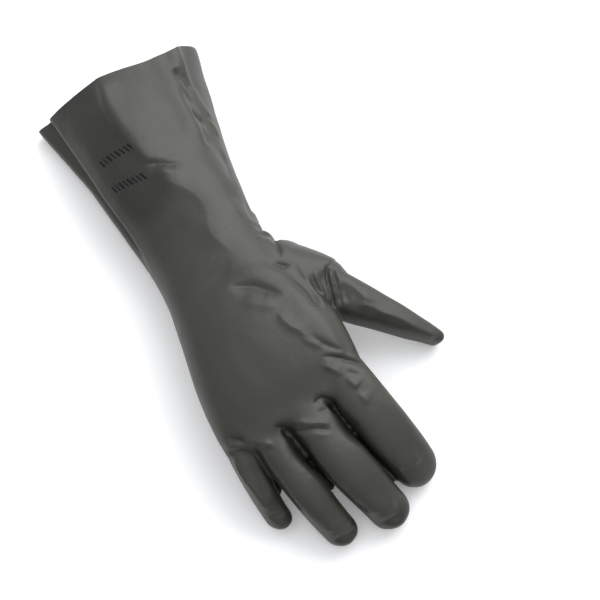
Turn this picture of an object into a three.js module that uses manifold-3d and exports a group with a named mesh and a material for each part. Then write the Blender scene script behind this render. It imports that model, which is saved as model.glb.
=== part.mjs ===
// Right-hand neoprene gauntlet glove, dipped in one piece and lying back up.
// The fingers point along -Y, the open cuff along +Y, the thumb along +X.
import * as THREE from "three";
import { mergeVertices } from "three/addons/utils/BufferGeometryUtils.js";
import Module from "manifold-3d";

// Driving dimensions, in millimetres. An angle is in degrees.
const wall = 1.2; // dipped neoprene on its flock
const sleeveSides = 44;
const sleeveStep = 9; // between sections of the sleeve
const fingerSides = 16;
const fingerSections = 11;
const mouthOverrun = 8; // how far the hollow's tool runs out of the cuff
const mouthSkew = -0.04; // the cut edge runs back this much for each millimetre to the right
const mouthRake = -0.2; // and this much for each millimetre up
const mouthReach = 56; // sections further in than this stand square again
const rubberColour = "#454642";

// The sleeve from the mouth to the knuckles, one row for each section.
// left and right: the outline, widest at the height waist; top and under: the
// heights of the two sides; peak: where the crest lies across; leftBox and
// rightBox: how boxy the two upper quarters are (2 is an ellipse). An under
// below 0 is where the glove lies flat.
const sleeve = [
  { y: 176.4, left: -44, right: 73, waist: 8, top: 46, under: -1.5, peak: 2, leftBox: 1.4, rightBox: 2.3 },
  { y: 150, left: -41, right: 66, waist: 9, top: 48, under: -1.5, peak: -2, leftBox: 1.55, rightBox: 2.3 },
  { y: 120, left: -38, right: 57.5, waist: 11, top: 49, under: -1.5, peak: -2, leftBox: 1.7, rightBox: 2.2 },
  { y: 92, left: -37.5, right: 49, waist: 14, top: 49, under: -1.5, peak: -1, leftBox: 1.9, rightBox: 2.1 },
  { y: 66, left: -37, right: 42, waist: 17, top: 48, under: -1.5, peak: 0, leftBox: 2, rightBox: 2.1 },
  { y: 42, left: -37, right: 36.5, waist: 20, top: 47, under: -1.5, peak: -1, leftBox: 2.1, rightBox: 2.1 },
  { y: 18, left: -40, right: 36.5, waist: 23, top: 48, under: -1, peak: -3, leftBox: 2.2, rightBox: 2.2 },
  { y: -10, left: -47, right: 40, waist: 26, top: 51, under: 2, peak: -4, leftBox: 2.2, rightBox: 2.3 },
  { y: -40, left: -54.5, right: 41, waist: 28, top: 53, under: 6, peak: -5, leftBox: 2.3, rightBox: 2.4 },
  { y: -64, left: -58.5, right: 38, waist: 29, top: 50, under: 10, peak: -7, leftBox: 2.4, rightBox: 2.5 },
  { y: -82, left: -60, right: 35, waist: 29, top: 44, under: 15, peak: -9, leftBox: 2.5, rightBox: 2.5 },
];
const belly = 2.8; // how boxy the lower half is
const knuckleReach = 11; // the sleeve closes this far past its last row

// The main folds of the sleeve, one row each. A fold runs from y0 to y1, turning
// from angle0 to angle1 round the section (0 right, 90 top, 180 left), and stands
// proud by height over width degrees to each side.
const folds = [
  { name: "crest", y0: 200, y1: 60, angle0: 92, angle1: 90, width: 12, height: 1.6 },
  { name: "right ridge", y0: 200, y1: 88, angle0: 40, angle1: 44, width: 12, height: 4 },
  { name: "left tuck", y0: 200, y1: 44, angle0: 166, angle1: 174, width: 9, height: -7 },
  { name: "left upper lip", y0: 200, y1: 44, angle0: 151, angle1: 158, width: 8, height: 1.2 },
  { name: "right hollow", y0: 185, y1: 70, angle0: 12, angle1: 20, width: 12, height: -2.4 },
  { name: "wrist dip", y0: 62, y1: -6, angle0: 120, angle1: 106, width: 22, height: -1.6 },
  { name: "index cord", y0: 0, y1: -90, angle0: 60, angle1: 48, width: 14, height: 1.6 },
  { name: "palm hollow", y0: 30, y1: -80, angle0: 270, angle1: 270, width: 34, height: -3 },
];
const foldEase = 0.22; // share of a fold's length over which each end fades

// Each finger is swept along a curve from root to tip, pulled towards bend.
// wide and thick: across and through it at the root, the middle and the tip.
const fingers = [
  {
    name: "index",
    root: [18, -44, 32],
    bend: [23.5, -114, 40],
    tip: [32, -153, 3],
    wide: [27, 30, 25],
    thick: [25, 21.5, 16.4],
  },
  {
    name: "middle",
    root: [-12, -46, 30],
    bend: [-10, -122, 41],
    tip: [4.5, -165.5, 3.2],
    wide: [25, 27.5, 22.5],
    thick: [25, 21, 16],
  },
  {
    name: "ring",
    root: [-34, -44, 29],
    bend: [-39, -114, 38],
    tip: [-26.5, -159, 3.6],
    wide: [21, 21.5, 20],
    thick: [24, 20, 16],
  },
  {
    name: "little",
    root: [-43, -40, 27],
    bend: [-58, -98, 33],
    tip: [-54, -130.5, 3.2],
    wide: [17, 18.5, 17.5],
    thick: [22, 18, 15.2],
  },
  {
    name: "thumb",
    root: [10, 22, 25],
    bend: [50, -31, 31],
    tip: [92.5, -83.5, 6.4],
    wide: [36, 28, 15],
    thick: [34, 27, 16.8],
  },
];
// The web of the palm between the thumb and the index, swept the same way.
const web = {
  root: [6, 22, 25],
  bend: [30, -12, 30],
  tip: [52, -41, 20],
  wide: [44, 40, 20],
  thick: [34, 34, 16],
};
const fingerBox = 2.5; // how boxy a finger's section is
const tipLength = 0.5; // a tip rounds off over this share of its width

// A column of the sleeve's table at y, on a smooth curve through its rows.
function column(name, y) {
  const last = sleeve.length - 1;
  const slope = (i) => {
    const a = sleeve[Math.max(i - 1, 0)];
    const b = sleeve[Math.min(i + 1, last)];
    return (b[name] - a[name]) / (b.y - a.y);
  };
  const below = sleeve.findIndex((row) => row.y < y);
  const i = below < 0 ? last - 1 : Math.max(below - 1, 0);
  const a = sleeve[i];
  const b = sleeve[i + 1];
  const span = b.y - a.y;
  const t = THREE.MathUtils.clamp((y - a.y) / span, 0, 1);
  const ease = t * t * (3 - 2 * t);
  const bow = t * (1 - t) * span;
  return (
    a[name] + (b[name] - a[name]) * ease + bow * ((1 - t) * slope(i) - t * slope(i + 1))
  );
}

// How far the folds push the sleeve out at a station and an angle.
function foldHeight(y, angle) {
  return folds.reduce((sum, fold) => {
    const along = (y - fold.y0) / (fold.y1 - fold.y0);
    if (along <= 0 || along >= 1) return sum;
    const fade = THREE.MathUtils.smoothstep(Math.min(along, 1 - along), 0, foldEase);
    const off = (angle - THREE.MathUtils.lerp(fold.angle0, fold.angle1, along)) / fold.width;
    return sum + fold.height * fade * Math.exp(-off * off);
  }, 0);
}

// A point of a superellipse with half axes a and b.
function superellipse(angle, a, b, power) {
  const c = Math.cos(angle);
  const s = Math.sin(angle);
  return new THREE.Vector2(
    a * Math.sign(c) * Math.abs(c) ** (2 / power),
    b * Math.sign(s) * Math.abs(s) ** (2 / power),
  );
}

// One section of the sleeve, set in from the outside by inset. close runs
// from 0 to 1 as the sleeve rounds off past its last row.
function sleeveRing(y, inset, close = 0) {
  const at = Object.fromEntries(Object.keys(sleeve[0]).map((name) => [name, column(name, y)]));
  const across = (at.right - at.left) / 2;
  const middle = (at.left + at.right) / 2;
  const shrink = Math.sqrt(1 - close * close);
  const station = y - close * (knuckleReach - inset);
  const lean = THREE.MathUtils.smoothstep(y, sleeve[0].y - mouthReach, sleeve[0].y);
  return Array.from({ length: sleeveSides }, (_, i) => {
    const angle = (i / sleeveSides) * 2 * Math.PI;
    const upper = angle <= Math.PI;
    const up = upper ? at.top - at.waist : at.waist - at.under;
    const crown = Math.cos(angle) < 0 ? at.leftBox : at.rightBox;
    const p = superellipse(angle, across, up, upper ? crown : belly);
    const normal = new THREE.Vector2(p.x / across ** 2, p.y / up ** 2).normalize();
    if (upper) p.x += ((at.peak - middle) * p.y) / up;
    p.multiplyScalar(shrink);
    p.addScaledVector(normal, foldHeight(y, THREE.MathUtils.radToDeg(angle)) * shrink - inset);
    const z = Math.max(p.y + at.waist, inset);
    const back = lean * (mouthSkew * p.x + mouthRake * z);
    return new THREE.Vector3(p.x + middle, station + back, z);
  });
}

// The sleeve's sections from the mouth to the knuckles.
function sleeveRings(inset) {
  const first = sleeve[0].y;
  const last = sleeve.at(-1).y;
  const count = Math.round((first - last) / sleeveStep);
  const rings = Array.from({ length: count + 1 }, (_, i) =>
    sleeveRing(THREE.MathUtils.lerp(first, last, i / count), inset),
  );
  if (inset > 0) rings.unshift(rings[0].map((p) => p.clone().setY(p.y + mouthOverrun)));
  for (const close of [0.5, 0.8, 0.95]) rings.push(sleeveRing(last, inset, close));
  return rings;
}

// A value that passes through start, middle and end as t runs from 0 to 1.
function through([start, middle, end], t) {
  return start * (1 - t) * (1 - 2 * t) + middle * 4 * t * (1 - t) + end * t * (2 * t - 1);
}

// A finger's sections from its root to its tip.
function fingerRings(finger, inset) {
  const points = [finger.root, finger.bend, finger.tip].map((p) => new THREE.Vector3(...p));
  const spine = new THREE.QuadraticBezierCurve3(...points);
  const length = spine.getLength();
  const round = (tipLength * finger.wide[2]) / length;
  const end = 1 - inset / length;
  return Array.from({ length: fingerSections }, (_, i) => {
    const t = end * Math.sin(((i / fingerSections) * Math.PI) / 2) ** 0.9;
    const close = Math.max(0, 1 - (end - t) / round);
    const cap = Math.sqrt(1 - close * close);
    const across = (through(finger.wide, t) / 2 - inset) * cap;
    const up = (through(finger.thick, t) / 2 - inset) * cap;
    const centre = spine.getPoint(t);
    const forward = spine.getTangent(t);
    const side = new THREE.Vector3(0, 0, 1).cross(forward).normalize();
    const rise = forward.clone().cross(side);
    return Array.from({ length: fingerSides }, (_, j) => {
      const flat = superellipse((j / fingerSides) * 2 * Math.PI, across, up, fingerBox);
      const p = centre.clone().addScaledVector(side, flat.x).addScaledVector(rise, flat.y);
      return p.setZ(Math.max(p.z, inset));
    });
  });
}

const wasm = await Module();
wasm.setup();

// A closed solid through a row of rings, with a fan over each end.
function loft(rings) {
  const sides = rings[0].length;
  const mean = (ring) =>
    ring.reduce((sum, p) => sum.add(p), new THREE.Vector3()).divideScalar(sides);
  const points = [...rings.flat(), mean(rings[0]), mean(rings.at(-1))];
  const faces = [];
  for (let i = 0; i < rings.length - 1; i++) {
    for (let j = 0; j < sides; j++) {
      const a = i * sides + j;
      const b = i * sides + ((j + 1) % sides);
      faces.push(a, b, a + sides, b, b + sides, a + sides);
    }
  }
  const startHub = points.length - 2;
  const endHub = points.length - 1;
  const endRing = (rings.length - 1) * sides;
  for (let j = 0; j < sides; j++) {
    const k = (j + 1) % sides;
    faces.push(startHub, k, j, endHub, endRing + j, endRing + k);
  }
  const geometry = new THREE.BufferGeometry().setFromPoints(points).setIndex(faces);
  const merged = mergeVertices(geometry, 1e-3);
  return new wasm.Manifold(
    new wasm.Mesh({
      numProp: 3,
      vertProperties: merged.attributes.position.array,
      triVerts: new Uint32Array(merged.index.array),
    }),
  );
}

// The glove's whole form, set in from the outside by inset.
function form(inset) {
  return [...fingers, web].reduce(
    (hand, finger) => hand.add(loft(fingerRings(finger, inset))),
    loft(sleeveRings(inset)),
  );
}

// A three.js geometry from a manifold-3d solid.
function geometryOf(solid) {
  const { vertProperties, triVerts } = solid.getMesh();
  const geometry = new THREE.BufferGeometry()
    .setAttribute("position", new THREE.BufferAttribute(vertProperties, 3))
    .setIndex(new THREE.BufferAttribute(triVerts, 1));
  geometry.computeVertexNormals();
  return geometry;
}

// The origin is under the middle of the glove, on the surface that it lies on.
const shell = geometryOf(form(0).subtract(form(wall)));
shell.computeBoundingBox();
const box = shell.boundingBox;
shell.translate(-(box.min.x + box.max.x) / 2, -(box.min.y + box.max.y) / 2, -box.min.z);

const rubber = new THREE.MeshStandardMaterial({
  color: rubberColour,
  roughness: 0.55,
  metalness: 0,
});
const gloveShell = new THREE.Mesh(shell, rubber);
gloveShell.name = "glove_shell";

const glove = new THREE.Group();
glove.add(gloveShell);

export default glove;
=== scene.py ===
import math

import bmesh
import bpy
import numpy as np
from mathutils import Matrix, Vector, kdtree, noise


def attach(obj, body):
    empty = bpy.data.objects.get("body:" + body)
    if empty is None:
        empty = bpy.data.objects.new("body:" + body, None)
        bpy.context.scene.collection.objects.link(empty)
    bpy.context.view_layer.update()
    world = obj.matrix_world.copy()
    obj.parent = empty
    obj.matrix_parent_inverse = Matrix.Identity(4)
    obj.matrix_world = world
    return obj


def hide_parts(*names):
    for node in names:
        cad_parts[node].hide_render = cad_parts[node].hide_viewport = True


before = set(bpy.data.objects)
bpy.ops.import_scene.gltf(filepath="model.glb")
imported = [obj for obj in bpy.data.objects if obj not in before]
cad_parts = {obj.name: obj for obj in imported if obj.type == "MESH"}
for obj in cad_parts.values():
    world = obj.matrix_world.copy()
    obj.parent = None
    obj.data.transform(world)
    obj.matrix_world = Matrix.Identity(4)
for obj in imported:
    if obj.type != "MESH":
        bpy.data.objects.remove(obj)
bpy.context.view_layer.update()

# Right-hand neoprene gauntlet glove, lying back up on a pale floor.
# The dictionaries are in millimetres, in the glove's own layout: fingers along
# -Y, cuff along +Y, thumb along +X. toFrame brings that to the frame's metres.
mm = 0.001
layoutMiddle = np.array([15.9, 5.3, 0.0])  # the frame's origin in the layout


def toFrame(points):
    return (np.asarray(points, float) - layoutMiddle) * mm


def toLayout(points):
    return np.asarray(points, float) / mm + layoutMiddle


# Camera

camera = {
    "lens": 85,
    "sensor": 36,
    "turn": -33,  # degrees round from the glove's length
    "height": 66,  # degrees above the floor
    "away": 860,  # to the target
    "target": (0, 0, 20),
    "image": 600,  # pixels across the picture
    "targetPixel": (240, 300),  # where the target lies in it
    "clip": (0.05, 20),  # m
}


def makeCamera():
    turn = math.radians(camera["turn"])
    height = math.radians(camera["height"])
    flat = math.cos(height)
    back = Vector((math.sin(turn) * flat, -math.cos(turn) * flat, math.sin(height)))
    right = (-back).cross(Vector((0, 0, 1))).normalized()
    up = back.cross(right)
    pixel = camera["away"] * camera["sensor"] / camera["lens"] / camera["image"]
    aside = (camera["targetPixel"][0] - camera["image"] / 2) * pixel
    below = (camera["targetPixel"][1] - camera["image"] / 2) * pixel
    spot = Vector(camera["target"]) + back * camera["away"] - right * aside + up * below
    data = bpy.data.cameras.new("studioCamera")
    data.lens = camera["lens"]
    data.sensor_width = camera["sensor"]
    data.clip_start, data.clip_end = camera["clip"]
    seen = bpy.data.objects.new("studioCamera", data)
    turned = Matrix((right, up, back)).transposed().to_4x4()
    seen.matrix_world = Matrix.Translation(toFrame(spot)) @ turned
    bpy.context.collection.objects.link(seen)
    bpy.context.scene.camera = seen


makeCamera()
print("camera set")


# The glove's form: a sleeve of sections, and fingers swept along curves

sleeve = {
    "columns": "y left right waist top under peak leftBox rightBox".split(),
    # left and right: the outline, widest at the height waist; peak: where the
    # crest lies across; the boxes say how square the two upper quarters are
    "rows": [
        (176.4, -44, 73, 8, 46, -1.5, 2, 1.27, 2.3),
        (150, -41, 66, 9, 48, -1.5, -2, 1.4, 2.3),
        (120, -38, 57.5, 11, 49, -1.5, -2, 1.65, 2.2),
        (92, -37.5, 49, 14, 49, -1.5, 0, 1.9, 2.1),
        (66, -37, 42, 17, 48, -1.5, 3, 1.9, 2.1),
        (42, -37, 36.5, 20, 47, -1.5, 1, 2.05, 2.1),
        (18, -40, 36.5, 23, 48, -1, -2, 2.2, 2.2),
        (-10, -47, 40, 26, 51, 2, -4, 2.2, 2.3),
        (-40, -54.5, 41, 28, 53, 6, -5, 2.3, 2.4),
        (-64, -58.5, 38, 29, 50, 10, -7, 2.4, 2.5),
        (-82, -60, 35, 29, 44, 15, -9, 2.5, 2.5),
    ],
    "belly": 2.8,  # how square the lower half is
    "knuckleReach": 11,  # it closes this far past the last row
    "mouthSkew": -0.04,  # the cut edge runs back for each mm to the right
    "mouthRake": -0.2,  # and for each mm up
    "mouthReach": 56,  # sections further in stand square
    "overrun": 12,  # cut off again at the mouth
    "step": 2,  # between sections
    "knuckleTurn": (0.15, 1.5),  # radians of the quarter turn that closes it
    "knuckleSections": 10,
    "sides": 240,
}

# Long folds of the sleeve: from y0 to y1, turning from angle0 to angle1 round
# the section (0 right, 90 top, 180 left) and bowed by bow degrees halfway, proud by
# height over width degrees.
sleeveFolds = {
    "columns": "y0 y1 angle0 angle1 bow width height".split(),
    "rows": {
        "crest": (200, 60, 96, 91, 0, 12, 1.6),
        "rightRidge": (200, 88, 40, 44, 0, 12, 4),
        "leftTuck": (200, 44, 159, 178, -7, 8, -6.5),
        "leftLip": (200, 44, 151, 167, -8, 4, 1.2),
        "rightHollow": (185, 76, 26, 30, 0, 9, -1.6),
        "wristDip": (62, -6, 120, 106, 0, 22, -1.6),
        "indexCord": (0, -90, 60, 48, 0, 14, 1.6),
        "palmHollow": (30, -80, 270, 270, 0, 34, -3),
    },
    "ease": 0.22,  # share of a fold's length over which each end fades
}

fingers = {
    # root, bend and tip set the curve; wide and thick at root, middle and tip;
    # roll: degrees that the finger turns, its side towards the thumb down
    "index": dict(root=(18, -44, 32), bend=(22, -114, 40.5), tip=(34.6, -149.6, 3),
                  wide=(28, 31, 25.4), thick=(25, 21.5, 16.4), roll=8),
    "middle": dict(root=(-12, -46, 30), bend=(-9.7, -122, 41), tip=(7.4, -162, 3.2),
                   wide=(26.5, 27.8, 23), thick=(25, 21, 16), roll=10),
    "ring": dict(root=(-34, -44, 29), bend=(-37.8, -114, 37.5), tip=(-23.7, -156.3, 3.6),
                 wide=(20, 21, 19), thick=(24, 20, 16), roll=10),
    "little": dict(root=(-43, -40, 27), bend=(-56.7, -98, 32.5), tip=(-50.5, -127.5, 3.2),
                   wide=(16, 15.6, 13.5), thick=(22, 18, 15.2), roll=8),
    "thumb": dict(root=(10, 22, 25), bend=(50, -31, 31), tip=(91.6, -84.2, 5.6),
                  wide=(36, 27.6, 8), thick=(34, 27, 12)),
    # the webs: of the palm between the thumb and the index, and where fingers part
    "web": dict(root=(6, 22, 25), bend=(30, -12, 30), tip=(52, -41, 20),
                wide=(44, 40, 20), thick=(34, 34, 16)),
    "indexWeb": dict(root=(4, -72, 26), bend=(9, -112, 25), tip=(17, -142, 9),
                     wide=(8, 8, 7), thick=(12, 10, 10)),
    "middleWeb": dict(root=(-25, -70, 28), bend=(-22.5, -103, 21), tip=(-16.5, -127, 8),
                      wide=(8, 8, 7), thick=(12, 11, 10)),
    "littleWeb": dict(root=(-46, -70, 26), bend=(-45.5, -94, 21), tip=(-43.5, -112, 8),
                      wide=(8, 7, 6), thick=(10, 11, 10)),
}
sweep = {
    "box": 2.8,  # how square a finger's section is
    "tipLength": 0.5,  # a tip rounds off over this share of its width
    "tipAcross": 2.3,  # how square it ends, seen from above and from the side
    "tipUp": 4.4,
    "rollBy": 0.5,  # the share of its length by which a finger has turned
    "sides": 72,
    "sections": 90,
    "crowding": 0.9,  # the sections stand closer towards the tip
    "samples": 200,  # that measure its length
}


# a table's column at y, on a smooth curve through its rows
def column(name, y):
    k = sleeve["columns"].index(name)
    rows = sleeve["rows"]
    last = len(rows) - 1
    i = 0
    while i < last - 1 and y < rows[i + 1][0]:
        i += 1
    a, b = rows[i], rows[i + 1]
    before, after = rows[max(i - 1, 0)], rows[min(i + 2, last)]
    slopeA = (b[k] - before[k]) / (b[0] - before[0])
    slopeB = (after[k] - a[k]) / (after[0] - a[0])
    span = b[0] - a[0]
    t = min(max((y - a[0]) / span, 0), 1)
    bow = t * (1 - t) * span
    return a[k] + (b[k] - a[k]) * t * t * (3 - 2 * t) + bow * ((1 - t) * slopeA - t * slopeB)


def smooth(t):
    t = np.clip(t, 0, 1)
    return t * t * (3 - 2 * t)


# how far the long folds push the sleeve out at a station
def foldHeight(y, angle):
    total = np.zeros_like(angle)
    for row in sleeveFolds["rows"].values():
        f = dict(zip(sleeveFolds["columns"], row))
        along = (y - f["y0"]) / (f["y1"] - f["y0"])
        if 0 < along < 1:
            fade = smooth(min(along, 1 - along) / sleeveFolds["ease"])
            centre = f["angle0"] + (f["angle1"] - f["angle0"]) * along
            centre += f["bow"] * 4 * along * (1 - along)
            off = ((angle - centre + 180) % 360 - 180) / f["width"]
            total += f["height"] * fade * np.exp(-off * off)
    return total


def superellipse(angle, a, b, power):
    c, s = np.cos(angle), np.sin(angle)
    x = a * np.sign(c) * np.abs(c) ** (2 / power)
    return x, b * np.sign(s) * np.abs(s) ** (2 / power)


def sleeveRing(y, close=0.0, beyond=0.0):
    at = {name: column(name, y) for name in sleeve["columns"]}
    across = (at["right"] - at["left"]) / 2
    middle = (at["right"] + at["left"]) / 2
    shrink = math.sqrt(1 - close * close)
    angle = np.arange(sleeve["sides"]) / sleeve["sides"] * 2 * math.pi
    upper = angle <= math.pi
    up = np.where(upper, at["top"] - at["waist"], at["waist"] - at["under"])
    crown = np.where(np.cos(angle) < 0, at["leftBox"], at["rightBox"])
    px, pz = superellipse(angle, across, up, np.where(upper, crown, sleeve["belly"]))
    nx, nz = px / across**2, pz / up**2
    size = np.hypot(nx, nz)
    px = px + np.where(upper, (at["peak"] - middle) * pz / up, 0)
    push = foldHeight(y, np.degrees(angle)) * shrink
    px = px * shrink + nx / size * push
    z = np.maximum(pz * shrink + nz / size * push + at["waist"], 0)
    lean = smooth((y - sleeve["rows"][0][0]) / sleeve["mouthReach"] + 1)
    back = lean * (sleeve["mouthSkew"] * px + sleeve["mouthRake"] * z)
    station = y - close * sleeve["knuckleReach"] + beyond
    return np.stack([px + middle, station + back, z], 1)


def sleeveRings():
    first, last = sleeve["rows"][0][0], sleeve["rows"][-1][0]
    count = round((first - last) / sleeve["step"])
    rings = [sleeveRing(first, beyond=sleeve["overrun"])]
    rings += [sleeveRing(first + (last - first) * i / count) for i in range(count + 1)]
    turns = np.linspace(*sleeve["knuckleTurn"], sleeve["knuckleSections"])
    rings += [sleeveRing(last, close=math.sin(a)) for a in turns]
    return rings


def unit(vector):
    return vector / np.linalg.norm(vector)


# a value that passes through three others as t runs from 0 to 1
def through(values, t):
    start, middle, end = values
    return start * (1 - t) * (1 - 2 * t) + middle * 4 * t * (1 - t) + end * t * (2 * t - 1)


def fingerRings(finger):
    root, bend, tip = (np.array(finger[k], float) for k in ("root", "bend", "tip"))
    ts = np.linspace(0, 1, sweep["samples"])[:, None]
    line = root * (1 - ts) ** 2 + bend * 2 * ts * (1 - ts) + tip * ts**2
    length = np.linalg.norm(np.diff(line, axis=0), axis=1).sum()
    rounding = sweep["tipLength"] * finger["wide"][2] / length
    angle = np.arange(sweep["sides"]) / sweep["sides"] * 2 * math.pi
    rings = []
    for i in range(sweep["sections"]):
        t = math.sin(i / sweep["sections"] * math.pi / 2) ** sweep["crowding"]
        close = max(0, 1 - (1 - t) / rounding)
        capAcross = (1 - close ** sweep["tipAcross"]) ** (1 / sweep["tipAcross"])
        capUp = (1 - close ** sweep["tipUp"]) ** (1 / sweep["tipUp"])
        centre = root * (1 - t) ** 2 + bend * 2 * t * (1 - t) + tip * t * t
        forward = unit((bend - root) * (1 - t) + (tip - bend) * t)
        side = unit(np.cross((0, 0, 1), forward))
        rise = np.cross(forward, side)
        roll = math.radians(finger.get("roll", 0)) * smooth(t / sweep["rollBy"])
        side, rise = (side * math.cos(roll) - rise * math.sin(roll),
                      rise * math.cos(roll) + side * math.sin(roll))
        across = through(finger["wide"], t) / 2 * capAcross
        up = through(finger["thick"], t) / 2 * capUp
        fx, fz = superellipse(angle, across, up, sweep["box"])
        ring = centre + fx[:, None] * side + fz[:, None] * rise
        ring[:, 2] = np.maximum(ring[:, 2], 0)
        rings.append(ring)
    return rings


# points and faces of a closed body through a row of rings
def loft(rings):
    sides = len(rings[0])
    points = [p for ring in rings for p in ring] + [rings[0].mean(0), rings[-1].mean(0)]
    faces = []
    for i in range(len(rings) - 1):
        for j in range(sides):
            a, b = i * sides + j, i * sides + (j + 1) % sides
            faces.append((a, b, b + sides, a + sides))
    startHub, endHub = len(points) - 2, len(points) - 1
    endRing = (len(rings) - 1) * sides
    for j in range(sides):
        k = (j + 1) % sides
        faces.append((startHub, k, j))
        faces.append((endHub, endRing + j, endRing + k))
    return points, faces


# Mesh helpers


def meshOf(parts, name):
    points, faces = [], []
    for p, f in parts:
        faces += [tuple(i + len(points) for i in face) for face in f]
        points += list(p)
    mesh = bpy.data.meshes.new(name)
    mesh.from_pydata(toFrame(points).tolist(), [], faces)
    mesh.update()
    return mesh


def objectOf(mesh, name):
    thing = bpy.data.objects.new(name, mesh)
    bpy.context.collection.objects.link(thing)
    return thing


# the object's mesh with its modifiers applied, in place of the old one
def settle(thing):
    bpy.context.view_layer.update()
    graph = bpy.context.evaluated_depsgraph_get()
    done = bpy.data.meshes.new_from_object(thing.evaluated_get(graph))
    old = thing.data
    thing.modifiers.clear()
    thing.data = done
    bpy.data.meshes.remove(old)
    return done


def pointsOf(mesh):
    flat = np.empty(len(mesh.vertices) * 3)
    mesh.vertices.foreach_get("co", flat)
    return toLayout(flat.reshape(-1, 3))


def putPoints(mesh, points):
    mesh.vertices.foreach_set("co", toFrame(points).ravel())
    mesh.update()


def normalsOf(mesh):
    flat = np.empty(len(mesh.vertices) * 3)
    mesh.vertex_normals.foreach_get("vector", flat)
    return flat.reshape(-1, 3)


def edgesOf(mesh):
    flat = np.empty(len(mesh.edges) * 2, np.int32)
    mesh.edges.foreach_get("vertices", flat)
    return flat.reshape(-1, 2)


# the mean of each point's neighbours
def neighbourMean(values, edges):
    a, b = edges.T
    count = np.bincount(edges.ravel(), minlength=len(values))
    total = [np.bincount(a, v[b], len(v)) + np.bincount(b, v[a], len(v)) for v in values.T]
    return np.stack(total, 1) / count[:, None]


def relax(values, edges, rounds, share=0.5):
    for _ in range(rounds):
        values = values + (neighbourMean(values, edges) - values) * share
    return values


# The skin: one body from all the forms, softened where they meet

skin = {
    "voxel": 0.75,
    "steps": 6,  # rounds that take the voxels' steps away
    "softShare": 0.5,  # of the way to the neighbours' mean in each round of a soft spot
    "softEdge": 1.6,  # above 1, a soft spot's middle is evenly soft
    "triangles": 118000,  # of the outside
}
# where the dipped skin runs over from one form to the next: x, y, z, reach, rounds
softSpots = {
    "thumbBack": (34, -4, 42, 26, 70),
    "thumbRoot": (44, 2, 22, 26, 60),
    "webPalm": (40, -30, 12, 22, 40),
    "webFront": (44, -40, 26, 9, 20),
    "indexKnuckle": (20, -86, 44, 17, 40),
    "middleKnuckle": (-9, -88, 44, 15, 40),
    "ringKnuckle": (-34, -86, 42, 14, 40),
    "littleKnuckle": (-50, -76, 38, 14, 40),
    "palmFront": (-10, -86, 16, 46, 40),
    "outerEdge": (-60, -70, 28, 18, 40),
    "indexSlot": (17, -142, 9, 9, 20),
    "middleSlot": (-16, -129, 8, 9, 20),
    "littleSlot": (-44, -114, 8, 9, 20),
}


def skinMesh():
    parts = [loft(sleeveRings())] + [loft(fingerRings(f)) for f in fingers.values()]
    thing = objectOf(meshOf(parts, "gloveSkin"), "gloveSkin")
    merge = thing.modifiers.new("merge", "REMESH")
    merge.mode = "VOXEL"
    merge.voxel_size = skin["voxel"] * mm
    mesh = settle(thing)
    edges = edgesOf(mesh)
    points = relax(pointsOf(mesh), edges, skin["steps"])
    for x, y, z, reach, rounds in softSpots.values():
        far = np.linalg.norm(points - (x, y, z), axis=1) / reach
        near = np.flatnonzero(far < 1)
        inside = np.zeros(len(points), bool)
        inside[near] = True
        patchNumber = np.cumsum(inside) - 1
        local = patchNumber[edges[inside[edges].all(1)]]
        share = skin["softShare"] * smooth(skin["softEdge"] * (1 - far[near]))[:, None]
        patch = points[near]
        for _ in range(rounds):
            patch = patch + (neighbourMean(patch, local) - patch) * share
        points[near] = patch
    points[:, 2] = np.maximum(points[:, 2], 0)
    putPoints(mesh, points)
    return thing


glove = skinMesh()
print("skin joined,", len(glove.data.vertices), "points")


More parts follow.
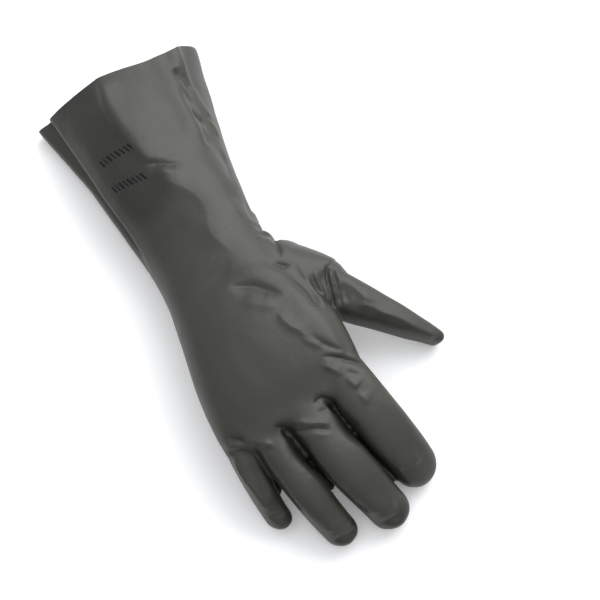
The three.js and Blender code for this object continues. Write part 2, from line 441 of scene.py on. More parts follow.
# Folds and creases: each runs through its points over the skin, and pushes it
# out by height, or in where that is below 0. width: half its width; sharp: 2 is
# a round profile, 1 a keen one; lean: above 0 its left side is the wider one;
# taper: the share of its length over which each end fades.
# Each row: width, height, sharp, lean, taper, path.
strokes = {
    # the cuff: the crest, the crease beside the thumb's side, their dents
    "crest": (6, 1.6, 1.5, 0.4, 0.2,
              [(0, 174, 46), (-1, 162, 48), (-4, 154, 50), (-6, 146, 50), (-8, 137, 51),
               (-7, 119, 51), (-5, 108, 51), (-4, 97, 51), (-4, 92, 51)]),
    "crestTurn": (9, 1.7, 1.3, 0.35, 0.25,
                  [(-4, 104, 52), (-2, 90, 51), (0, 77, 50), (6, 67, 49), (9, 58, 48),
                   (7, 48, 46), (3, 37, 46), (4, 27, 46), (8, 17, 47)]),
    "crestDent": (3.6, -1.9, 1.5, -0.4, 0.35,
                  [(-9, 98, 50), (0, 93, 50), (6, 89, 50), (14, 85, 48)]),
    "crestLip": (4, 0.9, 1.6, 0.3, 0.4,
                 [(-4, 92, 51), (0, 86, 52), (6, 82, 51), (13, 79, 49)]),
    "cuffRidge": (3.5, 1.8, 1.1, 0, 0.12,
                  [(60, 190, 32), (56, 165, 35), (54, 153, 33), (52, 140, 29), (50, 131, 27),
                   (51, 122, 25), (53, 114, 21)]),
    "cuffValley": (6, -1.4, 1.6, 0, 0.2,
                   [(50, 185, 39), (47, 160, 39), (43, 140, 38), (40, 118, 38),
                    (38, 100, 37)]),
    "cuffDentHigh": (3.2, -3, 1.4, 0, 0.3,
                     [(45, 155, 37), (46, 150, 36), (48, 144, 34), (48, 139, 32),
                      (49, 133, 31)]),
    "cuffSoft": (3.5, -0.9, 1.6, 0, 0.4, [(45, 140, 37), (44, 130, 36), (43, 121, 35)]),
    "cuffDentLow": (2.4, -1.8, 1.4, 0, 0.35, [(39, 123, 38), (42, 116, 34), (47, 113, 28)]),
    "cuffSoftLow": (3.5, -1, 1.6, 0, 0.4, [(40, 110, 36), (39, 101, 35), (37, 91, 35)]),
    "cuffRidgeLow": (3, 1, 1.4, 0, 0.35, [(48, 118, 27), (49, 110, 23), (48, 100, 22)]),
    "sidePanel": (4.5, -1.3, 1.5, 0, 0.35,
                  [(44, 95, 26), (41, 86, 28), (38, 74, 32), (33, 63, 37)]),
    "sideLight": (5, 0.8, 1.7, 0, 0.4, [(29, 56, 40), (26, 47, 41), (24, 36, 42)]),
    "edgeDark": (3.5, -1, 1.5, 0, 0.4, [(37, 52, 30), (34, 43, 32), (31, 33, 36)]),
    # the wrist and its puckers on the thumb's side
    "wristShoulder": (5, 1.5, 1.8, 0, 0.35, [(38, 47, 24), (38, 41, 22), (37, 35, 20)]),
    "wristNotch": (1.8, -1.6, 1.4, 0, 0.35,
                   [(30, 31, 41), (33, 29.5, 38), (36, 29, 28), (37, 28, 14)]),
    "wristNub": (3, 1.8, 1.8, 0, 0.35,
                 [(31, 25, 41), (35, 24, 37), (38, 23, 28), (39, 22, 16)]),
    "wristStep": (1.6, -1.5, 1.4, 0, 0.35,
                  [(33, 18, 39), (36, 18, 34), (39, 18, 25), (40, 18, 15)]),
    "heelBulge": (11, 6.4, 2, 0, 0.3,
                  [(38, 25, 22), (43, 15, 22), (50, 6, 23), (57, -6, 24), (63, -17, 25),
                   (67, -26, 26)]),
    "puckerHigh": (1.6, -1.3, 1.3, 0, 0.35, [(36, 20, 34), (34, 13, 38), (32, 6, 41), (29, 0, 44)]),
    "puckerLow": (1.5, -1.2, 1.3, -0.3, 0.4, [(24, 1, 45), (28, -4, 43), (33, -7, 42)]),
    "wristDark": (9, -1.1, 1.8, 0, 0.4, [(-16, 22, 48), (-8, 10, 49), (-2, 3, 50)]),
    # the back of the hand: creases that run down and across, each with a lit side below
    "lens": (3.8, -2.4, 1.4, -0.4, 0.35,
             [(-9, -1, 50), (-3, -3, 50), (4, -7, 50), (9, -12, 50), (14, -19, 51),
              (17, -24, 51)]),
    "lensAbove": (5, 0.8, 1.8, 0, 0.4, [(0, 6, 49), (12, 0, 49), (21, -7, 47), (27, -16, 46)]),
    "lensBelow": (5, 0.8, 1.7, 0.3, 0.35,
                  [(-9, -13, 51), (-3, -18, 52), (5, -25, 52), (11, -30, 52)]),
    "stepMid": (3.8, 1.5, 1.3, 0.5, 0.3,
                [(7, -30, 52), (8, -41, 53), (11, -47, 52), (14, -55, 51)]),
    "stepLow": (3, 1, 1.4, 0.5, 0.35, [(9, -50, 52), (13, -57, 51), (19, -64, 49)]),
    "nickHigh": (2, -1.3, 1.4, -0.3, 0.35,
                 [(16, -52, 51), (19, -59, 50), (23, -65, 49), (29, -71, 45)]),
    "longDark": (3, -1.6, 1.4, -0.3, 0.3,
                 [(27, -11, 46), (31, -19, 45), (32, -27, 44), (32, -36, 46), (33, -44, 47)]),
    "longLight": (2.6, 1.2, 1.3, 0, 0.3,
                  [(37, -5, 41), (36, -18, 42), (35, -28, 42), (35, -37, 44), (35, -45, 45)]),
    # pleats that fan out from the web of the thumb
    "pleatA": (1.8, -2, 1.4, 0, 0.25,
               [(54, -18, 36), (53, -22, 36), (51, -28, 37), (49, -33, 37), (47, -38, 35),
                (46, -42, 31)]),
    "pleatB": (2, -2.4, 1.4, 0, 0.25,
               [(52, -13, 38), (51, -18, 38), (48, -24, 38), (45, -31, 37), (43, -37, 35),
                (41, -43, 34)]),
    "pleatD": (1.8, -1, 1.5, 0, 0.35,
               [(47, -15, 39), (45, -20, 40), (43, -27, 39), (41, -34, 38), (39, -41, 36)]),
    "pleatC": (1.6, -0.9, 1.5, 0, 0.35,
               [(41, -15, 41), (39, -21, 40), (38, -28, 39), (37, -35, 42)]),
    "ridgeAB": (1.4, 0.9, 1.5, 0, 0.3, [(52, -18, 37), (50, -26, 38), (48, -32, 36), (46, -38, 33)]),
    "ridgeBC": (1.5, 0.9, 1.5, 0, 0.3,
                [(44, -14, 39), (42, -19, 40), (41, -25, 39), (40, -31, 36), (39, -38, 38)]),
    "ridgeA": (1.6, 0.9, 1.5, 0, 0.35, [(56, -19, 35), (54, -24, 36), (52, -31, 37), (51, -36, 36)]),
    # the thumb: its ridge, and the dents at its root
    "thumbRidge": (3.6, 1.7, 1.2, 0.3, 0.12,
                   [(52, -46, 32), (57, -48, 32), (61, -51, 31), (64, -56, 29), (68, -60, 28),
                    (72, -64, 26), (77, -71, 22), (83, -78, 17), (90, -84, 12)]),
    "thumbDent": (3, -1.4, 1.7, 0, 0.4, [(55, -28, 36), (53, -33, 36), (51, -39, 35), (50, -44, 33)]),
    "thumbFacet": (3, 0.9, 1.4, 0.3, 0.35,
                   [(58, -30, 35), (59, -38, 35), (61, -45, 34), (66, -50, 32)]),
    # the index's crease where the knuckle bends, and its small facets
    "indexCrease": (2, -2, 1.3, -0.4, 0.3,
                    [(14, -66, 48), (21, -70, 46), (27, -75, 43), (32, -80, 41),
                     (36, -85, 37)]),
    "facetA": (3, 1.4, 1.4, 0.5, 0.35, [(11, -70, 47), (16, -77, 46), (20, -83, 45)]),
    "facetB": (2.5, 1.1, 1.4, 0.5, 0.35, [(19, -84, 44), (21, -89, 44), (22, -94, 43)]),
    "facetC": (2.5, 0.9, 1.4, 0.5, 0.4, [(21, -95, 43), (22, -100, 42), (23, -105, 40)]),
    "facetNick": (1.8, -0.9, 1.4, 0, 0.4, [(22, -80, 45), (25, -84, 44), (29, -87, 42)]),
    # where each finger leaves the hand
    "crotchHigh": (2, -2, 1.4, -0.2, 0.25,
                   [(-5, -88, 43), (-1, -86, 42), (3, -86, 41), (7, -91, 36), (9, -99, 32)]),
    "crotchLow": (1.5, -0.9, 1.5, 0, 0.4, [(-5, -91, 43), (-2, -93, 42), (3, -94, 39)]),
    "middleRoll": (2, 1.6, 1.3, 0, 0.25,
                   [(-21, -88, 42), (-17, -92, 43), (-12, -96, 43), (-7, -99, 43),
                    (-1, -102, 41)]),
    "middleValley": (1.8, -1.8, 1.3, 0, 0.25,
                     [(-22, -93, 38), (-17, -97, 41), (-11, -100, 42), (-6, -103, 42),
                      (-2, -105, 41)]),
    "middleRidge": (2, 0.7, 1.4, 0, 0.3, [(-22, -96, 37), (-11, -104, 42), (-5, -108, 41)]),
    "crotchMiddle": (1.8, -1.8, 1.4, 0, 0.35, [(-31, -85, 42), (-26, -89, 40), (-25, -95, 34)]),
    "ringRoll": (2.2, 1.6, 1.3, 0, 0.3,
                 [(-47, -84, 39), (-43, -88, 40), (-40, -91, 40), (-35, -95, 39)]),
    "ringUnder": (1.8, -0.6, 1.3, 0, 0.35, [(-47, -88, 38), (-40, -95, 39), (-35, -99, 38)]),
    "crotchLittle": (2.2, -2.2, 1.4, 0, 0.35, [(-57, -75, 35), (-51, -79, 37), (-47, -85, 36)]),
    "littleRoll": (1.8, 1, 1.4, 0, 0.35, [(-59, -78, 31), (-53, -82, 36), (-48, -86, 37)]),
    "littleCross": (1.8, -1.6, 1.4, 0, 0.35, [(-59, -81, 31), (-53, -85, 35), (-48, -89, 35)]),
    # the fingers' flat backs end in a soft edge on the little finger's side
    "littleEdge": (2.4, 1.6, 1.2, 0, 0.15,
                   [(-57, -86, 31), (-58, -98, 28), (-57, -110, 25), (-55, -120, 17)]),
    "littleTrough": (3, -0.8, 1.6, 0, 0.3, [(-53, -92, 33), (-53, -106, 30), (-52, -117, 24)]),
    "ringEdge": (2.2, 0.9, 1.3, 0, 0.2,
                 [(-44, -92, 36), (-43, -110, 33), (-39, -128, 27), (-34, -145, 18)]),
    "middleEdge": (2.4, 0.9, 1.3, 0, 0.2,
                   [(-20, -98, 38), (-18, -116, 35), (-13, -134, 28), (-7, -150, 19)]),
    # the sides of the middle and ring fingers lean in below their knuckles
    "middleFlank": (5.5, -1.9, 2, 0, 0.5,
                    [(1, -94, 40), (4, -102, 39), (6, -111, 37), (9, -123, 32)]),
    "ringFlank": (5.5, -2, 2, 0, 0.5,
                  [(-27, -90, 38), (-25, -99, 37), (-23, -110, 35), (-21, -123, 30)]),
    # the fingertips bend down past a soft edge
    "middleTip": (4, 0.9, 1.5, 0.5, 0.25, [(-12, -150, 17), (-2, -154, 21), (9, -157, 17)]),
    "middleCap": (3, -1.3, 1.6, -0.3, 0.3, [(-8, -156, 12), (0, -160, 15), (9, -162, 12)]),
    "ringTip": (3.6, 0.9, 1.5, 0.5, 0.25, [(-35, -146, 17), (-26, -150, 20), (-16, -149, 15)]),
    "ringCap": (3, -1.3, 1.6, -0.3, 0.3, [(-32, -151, 12), (-25, -155, 14), (-17, -154, 11)]),
    "indexTip": (4.5, 0.8, 1.5, 0.5, 0.3, [(17, -137, 21), (25, -141, 23), (36, -142, 19)]),
    "littleTip": (2, -1.5, 1.4, 0, 0.35, [(-58, -122, 14), (-54, -124, 17), (-48, -124, 14)]),
}
press = {
    "spacing": 1.2,  # between points along a stroke
    "keen": 1.5,  # a stroke this sharp or less has long tails
    "keenReach": 5,  # half widths that its tails are followed for
    "roundReach": 3,
    "uneven": 0.5,  # how much a fold's height varies
    "unevenLength": 15,  # and over how many mm
    "steady": 6,  # rounds that smooth the direction of the push
    "ease": 1,  # rounds that smooth what it gives
    "floorFade": 6,  # nothing where it lies on the floor, all of it this far up
}


# points on a smooth curve through the path
def alongPath(path):
    p = np.array(path, float)
    ends = np.vstack([2 * p[0] - p[1], p, 2 * p[-1] - p[-2]])
    line = []
    for i in range(len(p) - 1):
        a, b, c, d = ends[i:i + 4]
        count = max(2, int(np.linalg.norm(c - b) / press["spacing"]))
        for t in np.linspace(0, 1, count, endpoint=False):
            line.append(0.5 * (2 * b + (c - a) * t + (2 * a - 5 * b + 4 * c - d) * t**2
                               + (3 * b - a - 3 * c + d) * t**3))
    return np.array(line + [p[-1]])


# how far one stroke pushes each point
def pressStroke(points, normals, tree, width, height, sharp, lean, taper, path):
    path = np.array([tree.find(Vector(p))[0] for p in alongPath(path)])
    path[1:-1] = (path[:-2] + 2 * path[1:-1] + path[2:]) / 4
    widths = press["roundReach"] if sharp > press["keen"] else press["keenReach"]
    reach = width * (1 + abs(lean)) * widths
    low, high = path.min(0) - reach, path.max(0) + reach
    near = np.flatnonzero(np.all((points > low) & (points < high), axis=1))
    p, best = points[near], np.full(len(near), 1e9)
    where, side = np.zeros(len(near)), np.zeros(len(near))
    lengths = np.linalg.norm(np.diff(path, axis=0), axis=1)
    total = lengths.sum()
    for i in range(len(path) - 1):
        a, d = path[i], path[i + 1] - path[i]
        t = np.clip((p - a) @ d / max(d @ d, 1e-9), 0, 1)
        gap = p - a - t[:, None] * d
        far = np.linalg.norm(gap, axis=1)
        closer = far < best
        best = np.where(closer, far, best)
        where = np.where(closer, (lengths[:i].sum() + t * lengths[i]) / total, where)
        left = np.einsum("ij,ij->i", np.cross(normals[near], d), gap)
        side = np.where(closer, np.sign(left), side)
    fade = smooth(np.minimum(where, 1 - where) / taper)
    off = best / (width * (0.5 + 0.5 * fade) * (1 + lean * side))
    drift = np.array([noise.noise(Vector(q) / press["unevenLength"]) for q in p])
    fade *= 1 + press["uneven"] * drift
    amount = np.zeros(len(points))
    amount[near] = height * fade * np.exp(-(off ** sharp))
    return amount


# slow waves of the rubber, longer along the sleeve than round it
waves = {
    "rows": [(60, 24, 0.7), (26, 13, 0.3), (13, 8, 0.14)],  # length, across, height
    "seed": 7.3,
}


def waveHeights(points):
    total = np.zeros(len(points))
    for row, (length, across, height) in enumerate(waves["rows"]):
        scaled = points / (across, length, across) + waves["seed"] * (row + 1)
        total += height * np.array([noise.noise(Vector(p)) for p in scaled])
    return total


def foldSkin(thing):
    mesh = thing.data
    points, edges = pointsOf(mesh), edgesOf(mesh)
    normals = relax(normalsOf(mesh), edges, press["steady"])
    normals /= np.linalg.norm(normals, axis=1)[:, None]
    tree = kdtree.KDTree(len(points))
    for i, p in enumerate(points):
        tree.insert(p, i)
    tree.balance()
    push = waveHeights(points)
    for stroke in strokes.values():
        push += pressStroke(points, normals, tree, *stroke)
    push *= smooth(points[:, 2] / press["floorFade"])
    points = relax(points + normals * push[:, None], edges, press["ease"])
    points[:, 2] = np.maximum(points[:, 2], 0)
    putPoints(mesh, points)


foldSkin(glove)
print("folds pressed")


# The cut mouth and the wall

mouth = {
    "y": 176.4,  # where the cut crosses the line x = middle on the floor
    "middle": 14.5,
    "wave": 0.8,  # the cut wanders by this
    "waveLength": 27,
    "waveSeed": 3,
    "fade": 20,  # how far in from the cut that is felt
    "shifts": [  # x, z, reach, across, along
        (74, 16, 17, 2.6, 3.6),  # the corner on the thumb's side stands out
        (34, 45, 16, 0, -1.4),
        (52, 38, 9, 0, -0.4),
        (63, 27, 8, 0, 1.6),
    ],
}
wall = {
    "thickness": 1.2,
    "insideShare": 0.5,  # of the inside's triangles that are kept
    "insideEase": 4,  # rounds that smooth the inside
    "rim": 1.5,  # this close to the cut it stays as it is
    "sharp": 60,  # edges that bend more than these degrees are drawn sharp
    "sliver": 0.12,  # triangles narrower than this are closed up
}


# how far each point is past the cut
def mouthSide(points):
    x, y, z = points.T
    back = sleeve["mouthSkew"] * (x - mouth["middle"]) + sleeve["mouthRake"] * z
    return y - mouth["y"] - back


def cutMouth(thing):
    body = bmesh.new()
    body.from_mesh(thing.data)
    normal = Vector((-sleeve["mouthSkew"], 1, -sleeve["mouthRake"])).normalized()
    spot = Vector(toFrame((mouth["middle"], mouth["y"], 0)))
    everything = body.verts[:] + body.edges[:] + body.faces[:]
    bmesh.ops.bisect_plane(body, geom=everything, dist=1e-6, plane_co=spot, plane_no=normal,
                           clear_outer=True)
    body.to_mesh(thing.data)
    body.free()
    points = pointsOf(thing.data)
    near = smooth(1 + mouthSide(points) / mouth["fade"])
    spots = [Vector((x, z, mouth["waveSeed"])) for x, y, z in points]
    wander = np.array([noise.noise(spot / mouth["waveLength"]) for spot in spots])
    points[:, 1] += mouth["wave"] * wander * near
    for x, z, reach, across, along in mouth["shifts"]:
        share = near * np.exp(-((points[:, 0] - x) ** 2 + (points[:, 2] - z) ** 2) / reach**2)
        points[:, 0] += across * share
        points[:, 1] += along * share
    putPoints(thing.data, points)


# triangles too thin to shade well, closed up
def dropSlivers(mesh):
    body = bmesh.new()
    body.from_mesh(mesh)
    bmesh.ops.dissolve_degenerate(body, dist=wall["sliver"] * mm, edges=body.edges)
    bmesh.ops.triangulate(body, faces=body.faces)
    body.to_mesh(mesh)
    body.free()


# the wall's inside face smoothed, except along the rim
def easeInside(mesh):
    points = pointsOf(mesh)
    inner = np.array([len(v.groups) > 0 for v in mesh.vertices])
    share = inner * smooth(-mouthSide(points) / wall["rim"] - 1)
    points += (relax(points, edgesOf(mesh), wall["insideEase"]) - points) * share[:, None]
    putPoints(mesh, points)


def giveWall(thing):
    thin = thing.modifiers.new("thin", "DECIMATE")
    triangles = sum(len(p.vertices) - 2 for p in thing.data.polygons)
    thin.ratio = min(1, skin["triangles"] / triangles)
    settle(thing)
    dropSlivers(thing.data)
    inside = thing.vertex_groups.new(name="inside")
    solid = thing.modifiers.new("wall", "SOLIDIFY")
    solid.thickness = wall["thickness"] * mm
    solid.offset = -1
    solid.shell_vertex_group = inside.name
    settle(thing)
    easeInside(thing.data)
    thin = thing.modifiers.new("thinInside", "DECIMATE")
    thin.vertex_group = "inside"
    thin.ratio = (1 + wall["insideShare"]) / 2
    settle(thing)
    thing.vertex_groups.clear()
    for face in thing.data.polygons:
        face.use_smooth = True
    thing.data.set_sharp_from_angle(angle=math.radians(wall["sharp"]))


cutMouth(glove)
giveWall(glove)
print("wall made,", len(glove.data.polygons), "triangles")


# Materials


def toLinear(code):
    channels = [int(code[i:i + 2], 16) / 255 for i in (1, 3, 5)]
    linear = [c / 12.92 if c <= 0.04045 else ((c + 0.055) / 1.055) ** 2.4 for c in channels]
    return (*linear, 1)


# a node with its settings; each input is set to a value or joined to a socket, and is
# given by its name, or by its number as in _6
def addNode(tree, kind, settings=None, **inputs):
    node = tree.nodes.new(kind)
    for name, value in (settings or {}).items():
        setattr(node, name, value)
    for name, value in inputs.items():
        socket = node.inputs[int(name[1:])] if name[0] == "_" else node.inputs[name.replace("_", " ")]
        if isinstance(value, bpy.types.NodeSocket):
            tree.links.new(value, socket)
        else:
            socket.default_value = value
    return node


def newMaterial(name):
    material = bpy.data.materials.new(name)
    material.use_nodes = True
    material.node_tree.nodes.clear()
    return material, material.node_tree


# Dipped neoprene: a satin skin, mottled by the dip and faintly pebbled.
neoprene = {
    "dark": "#272722",
    "light": "#32322a",
    "blotch": 28,  # mm across the dip's mottling
    "blotchDetail": 3,
    "blotchRoughness": 0.55,
    "printPatchAndShade": "#121210",  # darker: a patch round the ink bars, in part painted shade; painted shade in the slots between the fingers and on the fingertips' caps
    "patchAndShadeFields": {  # reach in mm, share and line
        # a darker patch round the ink bars, in part painted shade on the facet that turns from the
        # light
        "inkBars": (26, 0.64, [(-26, 172, 35), (-22, 130, 44), (-20, 106, 44), (-18, 84, 45)]),
        # painted shade: darker colour along the slots between the fingers, where shade falls
        "indexSlot": (9, 0.9, [(1, -92, 33), (7, -112, 27), (12, -130, 18), (16, -142, 10)]),
        "middleSlot": (11, 0.9, [(-25, -88, 34), (-23, -104, 27), (-20, -122, 16), (-16, -134, 8)]),
        "littleSlot": (8, 0.8, [(-48, -80, 33), (-47, -98, 24), (-45, -112, 10)]),
        # painted shade: darker colour on the middle and ring fingertips' caps, which turn from the
        # light
        "middleCap": (12, 0.5, [(-4, -160, 8), (5, -162, 8), (12, -160, 8)]),
        "ringCap": (11, 0.5, [(-32, -156, 8), (-25, -158, 8), (-17, -156, 8)]),
    },
    "pebble": 0.9,  # mm; the real grain is finer, too fine to show
    "pebbleDepth": 0.06,
    "pebbleStrength": 0.35,
    "peel": 4,  # mm across the slow ripple of the dip
    "peelDepth": 0.35,
    "peelStrength": 0.4,
    "reliefDetail": 2,
    "roughness": 0.44,
    "ior": 1.5,
    "specular": 0.5,
}


# how far each point takes the darker colour of the print patch and the painted shade: all of it up to
# half the reach
def markPatchAndShade(mesh):
    points = pointsOf(mesh)
    share = np.zeros(len(points))
    for reach, most, line in neoprene["patchAndShadeFields"].values():
        far = [np.linalg.norm(points - q, axis=1) for q in alongPath(line)]
        share = np.maximum(share, most * smooth(2 - 2 * np.min(far, axis=0) / reach))
    mesh.attributes.new("printPatchAndShade", "FLOAT", "POINT").data.foreach_set("value", share)


def satinNeoprene():
    material, tree = newMaterial("satinDippedNeoprene")
    place = addNode(tree, "ShaderNodeTexCoord").outputs["Object"]
    blotch = addNode(tree, "ShaderNodeTexNoise", Vector=place,
                     Detail=neoprene["blotchDetail"], Roughness=neoprene["blotchRoughness"],
                     Scale=1 / (neoprene["blotch"] * mm))
    mottle = addNode(tree, "ShaderNodeMix", {"data_type": "RGBA"},
                     Factor=blotch.outputs["Fac"], _6=toLinear(neoprene["dark"]),
                     _7=toLinear(neoprene["light"]))
    # painted shade in the slots and on the caps, and the darker patch round the ink bars, mixed over
    # the mottle
    printPatchAndShade = addNode(tree, "ShaderNodeAttribute", {"attribute_name": "printPatchAndShade"})
    colour = addNode(tree, "ShaderNodeMix", {"data_type": "RGBA"}, Factor=printPatchAndShade.outputs["Fac"],
                     _6=mottle.outputs["Result"], _7=toLinear(neoprene["printPatchAndShade"]))
    pebble = addNode(tree, "ShaderNodeTexNoise", Vector=place,
                     Detail=neoprene["reliefDetail"], Scale=1 / (neoprene["pebble"] * mm))
    peel = addNode(tree, "ShaderNodeTexNoise", Vector=place,
                   Detail=neoprene["reliefDetail"], Scale=1 / (neoprene["peel"] * mm))
    grain = addNode(tree, "ShaderNodeBump", Height=pebble.outputs["Fac"],
                    Strength=neoprene["pebbleStrength"], Distance=neoprene["pebbleDepth"] * mm)
    ripple = addNode(tree, "ShaderNodeBump", Height=peel.outputs["Fac"],
                     Strength=neoprene["peelStrength"], Distance=neoprene["peelDepth"] * mm,
                     Normal=grain.outputs["Normal"])
    shader = addNode(tree, "ShaderNodeBsdfPrincipled", Normal=ripple.outputs["Normal"],
                     Base_Color=colour.outputs["Result"], Roughness=neoprene["roughness"],
                     IOR=neoprene["ior"], Specular_IOR_Level=neoprene["specular"])
    addNode(tree, "ShaderNodeOutputMaterial", Surface=shader.outputs["BSDF"])
    return material


rubber = satinNeoprene()
glove.data.materials.clear()
glove.data.materials.append(rubber)
markPatchAndShade(glove.data)


# Two rows of plain ink bars on the cuff: slabs set along a line and laid on the skin
ink = {
    "rows": {
        "upper": dict(line=[(-28, 117, 40), (-18, 115, 46), (-8, 112, 50)], bars=8, turn=0.35),
        "lower": dict(line=[(-30, 98, 38), (-20, 94, 45), (-12, 91, 49)], bars=8, turn=0.3),
    },
    "tall": 5.8,
    "wide": 1.6,
    "proud": 0.08,  # over the skin
    "rooted": 0.25,  # and under it
    "grid": (3, 7, 2),  # a bar's vertices across, along and up
    "narrowest": 0.5,  # a bar's width is between these shares of wide
    "widest": 1.25,
    "seed": 4,
    "colour": "#0d0d0d",
    "roughness": 0.7,
    "specular": 0.25,
}


# Stamping ink on rubber: it dries thin and matt, and darker than the skin.
def matteInk():
    material, tree = newMaterial("matteStampInk")
    shader = addNode(tree, "ShaderNodeBsdfPrincipled", Base_Color=toLinear(ink["colour"]),
                     Roughness=ink["roughness"], Specular_IOR_Level=ink["specular"])
    addNode(tree, "ShaderNodeOutputMaterial", Surface=shader.outputs["BSDF"])
    return material


# bars along the object's line: widths drawn from a fixed seed, every point of a bar
# moved to the skin and lifted by its own height
def barTree():
    tree = bpy.data.node_groups.new("inkBars", "GeometryNodeTree")
    face = tree.interface
    face.new_socket("Geometry", in_out="INPUT", socket_type="NodeSocketGeometry")
    skinSocket = face.new_socket("Skin", in_out="INPUT", socket_type="NodeSocketObject")
    inkSocket = face.new_socket("Ink", in_out="INPUT", socket_type="NodeSocketMaterial")
    countSocket = face.new_socket("Bars", in_out="INPUT", socket_type="NodeSocketInt")
    turnSocket = face.new_socket("Turn", in_out="INPUT", socket_type="NodeSocketFloat")
    face.new_socket("Geometry", in_out="OUTPUT", socket_type="NodeSocketGeometry")
    given = addNode(tree, "NodeGroupInput").outputs
    curve = addNode(tree, "GeometryNodeMeshToCurve", Mesh=given["Geometry"])
    spots = addNode(tree, "GeometryNodeResampleCurve", Curve=curve.outputs["Curve"],
                    Count=given["Bars"])
    points = addNode(tree, "GeometryNodeCurveToPoints", {"mode": "EVALUATED"},
                     Curve=spots.outputs["Curve"])
    across, along, up = ink["grid"]
    bar = addNode(tree, "GeometryNodeMeshCube", Size=(ink["wide"] * mm, ink["tall"] * mm, mm),
                  Vertices_X=across, Vertices_Y=along, Vertices_Z=up)
    place = addNode(tree, "GeometryNodeInputPosition").outputs["Position"]
    upper = addNode(tree, "ShaderNodeSeparateXYZ", Vector=place).outputs["Z"]
    lift = addNode(tree, "ShaderNodeMapRange", Value=upper, From_Min=-0.5 * mm,
                   From_Max=0.5 * mm, To_Min=-ink["rooted"] * mm, To_Max=ink["proud"] * mm)
    marked = addNode(tree, "GeometryNodeStoreNamedAttribute", {"data_type": "FLOAT"},
                     Geometry=bar.outputs["Mesh"], Name="lift", Value=lift.outputs["Result"])
    share = addNode(tree, "FunctionNodeRandomValue", {"data_type": "FLOAT"},
                    _2=ink["narrowest"], _3=ink["widest"], _8=ink["seed"])
    size = addNode(tree, "ShaderNodeCombineXYZ", X=share.outputs[1], Y=1.0, Z=1.0)
    turned = addNode(tree, "ShaderNodeCombineXYZ", Z=given["Turn"])
    bars = addNode(tree, "GeometryNodeInstanceOnPoints", Points=points.outputs["Points"],
                   Instance=marked.outputs["Geometry"], Rotation=turned.outputs["Vector"],
                   Scale=size.outputs["Vector"])
    loose = addNode(tree, "GeometryNodeRealizeInstances", Geometry=bars.outputs["Instances"])
    skinInfo = addNode(tree, "GeometryNodeObjectInfo", Object=given["Skin"])
    nearest = addNode(tree, "GeometryNodeProximity", {"target_element": "FACES"},
                      _0=skinInfo.outputs["Geometry"])
    normal = addNode(tree, "GeometryNodeInputNormal").outputs["Normal"]
    outward = addNode(tree, "GeometryNodeSampleNearestSurface", {"data_type": "FLOAT_VECTOR"},
                      Mesh=skinInfo.outputs["Geometry"], Value=normal,
                      Sample_Position=nearest.outputs["Position"])
    own = addNode(tree, "GeometryNodeInputNamedAttribute", {"data_type": "FLOAT"}, Name="lift")
    raised = addNode(tree, "ShaderNodeVectorMath", {"operation": "SCALE"},
                     Vector=outward.outputs["Value"], Scale=own.outputs["Attribute"])
    target = addNode(tree, "ShaderNodeVectorMath", {"operation": "ADD"},
                     _0=nearest.outputs["Position"], _1=raised.outputs["Vector"])
    laid = addNode(tree, "GeometryNodeSetPosition", Geometry=loose.outputs["Geometry"],
                   Position=target.outputs["Vector"])
    inked = addNode(tree, "GeometryNodeSetMaterial", Geometry=laid.outputs["Geometry"],
                    Material=given["Ink"])
    addNode(tree, "NodeGroupOutput", Geometry=inked.outputs["Geometry"])
    return tree, (skinSocket, inkSocket, countSocket, turnSocket)


def inkBars(name, row, tree, sockets, material):
    points = toFrame(row["line"]).tolist()
    mesh = bpy.data.meshes.new(name)
    mesh.from_pydata(points, [(i, i + 1) for i in range(len(points) - 1)], [])
    bars = objectOf(mesh, name)
    nodes = bars.modifiers.new("bars", "NODES")
    nodes.node_group = tree
    for socket, value in zip(sockets, (glove, material, row["bars"], row["turn"])):
        nodes[socket.identifier] = value
    settle(bars)
    return bars


stampInk = matteInk()
inkTree, inkSockets = barTree()
printed = [inkBars(name + "Ink", row, inkTree, inkSockets, stampInk)
           for name, row in ink["rows"].items()]
print("ink bars:", [len(bars.data.polygons) for bars in printed])


# Floor and light

studio = {
    "floor": "#fafbfd",
    "floorRoughness": 0.8,
    "floorSize": 6,  # m
    "glow": 0.14,  # the table is lit from below as well
    "above": 1.05,  # the white room's own light where it's brightest and where it's dimmest
    "beside": 0.3,
    "brightSide": (0.15, 0.25, 0.96),
    "dimAt": -0.2,  # how far a direction faces the bright side, where it's dimmest
    "brightAt": 0.85,  # and where it's brightest
    # a broad soft light: aim, away and wide in m, power in W
    "key": dict(aim=(0, 0, 0.03), turn=66, height=41, away=2.6, wide=2.4, power=52),
}


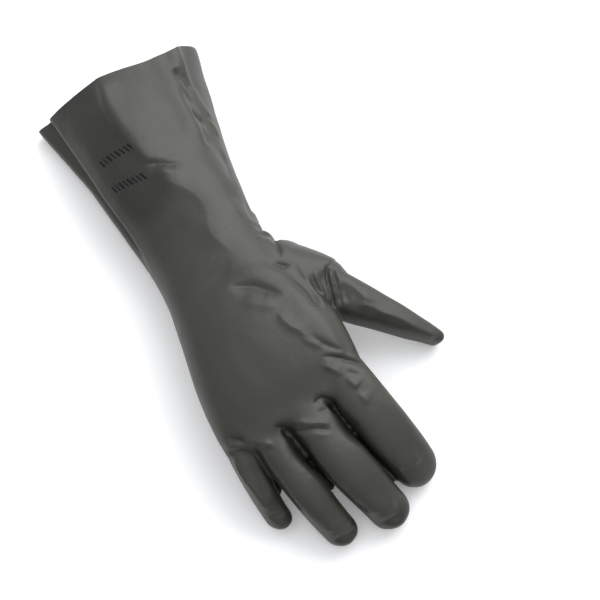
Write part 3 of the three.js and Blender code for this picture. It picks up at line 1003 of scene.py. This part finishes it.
# A laminate table top: white, smooth and nearly matt, so it gives back a soft light.
def makeFloor():
    half = studio["floorSize"] / 2
    mesh = bpy.data.meshes.new("floor")
    mesh.from_pydata([(-half, -half, 0), (half, -half, 0), (half, half, 0), (-half, half, 0)],
                     [], [(0, 1, 2, 3)])
    floor = objectOf(mesh, "floor")
    material, tree = newMaterial("whiteTable")
    shader = addNode(tree, "ShaderNodeBsdfPrincipled", Base_Color=toLinear(studio["floor"]),
                     Roughness=studio["floorRoughness"], Emission_Color=(1, 1, 1, 1),
                     Emission_Strength=studio["glow"])
    addNode(tree, "ShaderNodeOutputMaterial", Surface=shader.outputs["BSDF"])
    mesh.materials.append(material)


def makeLight(name):
    s = studio[name]
    turn, height = math.radians(s["turn"]), math.radians(s["height"])
    flat = math.cos(height)
    out = Vector((math.sin(turn) * flat, math.cos(turn) * flat, math.sin(height)))
    data = bpy.data.lights.new(name, "AREA")
    data.size = s["wide"]
    data.energy = s["power"]
    light = objectOf(data, name)
    light.location = Vector(s["aim"]) + out * s["away"]
    light.rotation_euler = out.to_track_quat("Z", "Y").to_euler()


# a white room that is brighter overhead and behind
def makeAir():
    world = bpy.data.worlds.new("studioAir")
    world.use_nodes = True
    tree = world.node_tree
    tree.nodes.clear()
    place = addNode(tree, "ShaderNodeTexCoord").outputs["Generated"]
    facing = addNode(tree, "ShaderNodeVectorMath", {"operation": "DOT_PRODUCT"}, _0=place,
                     _1=studio["brightSide"])
    glow = addNode(tree, "ShaderNodeMapRange", Value=facing.outputs["Value"],
                   From_Min=studio["dimAt"], From_Max=studio["brightAt"],
                   To_Min=studio["beside"], To_Max=studio["above"])
    air = addNode(tree, "ShaderNodeBackground", Color=(1, 1, 1, 1), Strength=glow.outputs["Result"])
    addNode(tree, "ShaderNodeOutputWorld", Surface=air.outputs["Background"])
    bpy.context.scene.world = world


makeFloor()
makeLight("key")
makeAir()
bpy.context.scene.view_settings.view_transform = "Standard"
print("studio set")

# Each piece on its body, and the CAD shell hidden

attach(glove, "root")
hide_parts("glove_shell")
for bars in printed:
    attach(bars, "root")
